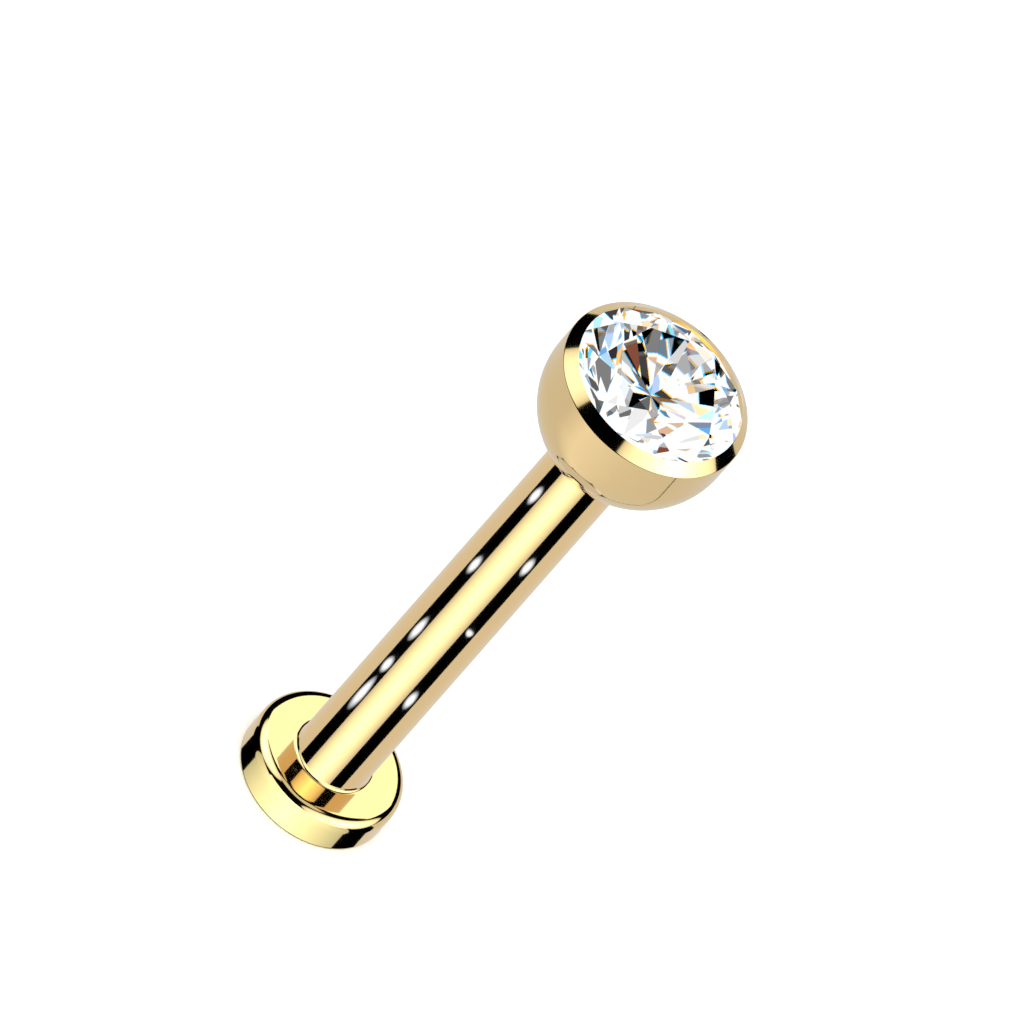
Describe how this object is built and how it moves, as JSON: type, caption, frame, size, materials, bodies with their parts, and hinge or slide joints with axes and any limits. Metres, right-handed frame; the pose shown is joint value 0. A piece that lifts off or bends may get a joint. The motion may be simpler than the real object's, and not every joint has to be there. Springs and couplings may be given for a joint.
{
  "type": "labret stud",
  "caption": "Labret stud with a straight round post on a flat disc back, and a bezel cup that holds a clear round brilliant stone.",
  "frame": {"origin": "centre of the disc's flat underside, which the stud stands on", "axes": "+Z along the post, from the disc back to the stone; the stud is round about Z, apart from the stone's facets"},
  "size_m": [0.003, 0.003, 0.011],
  "materials": {
    "gold_metal": "mirror polish, gold tone",
    "clear_stone": "polished facets, clear"
  },
  "bodies": {
    "root": {"labret_post": "gold_metal", "push_pin": "gold_metal", "bezel_cup": "gold_metal", "stone": "clear_stone"}
  },
  "joints": []
}
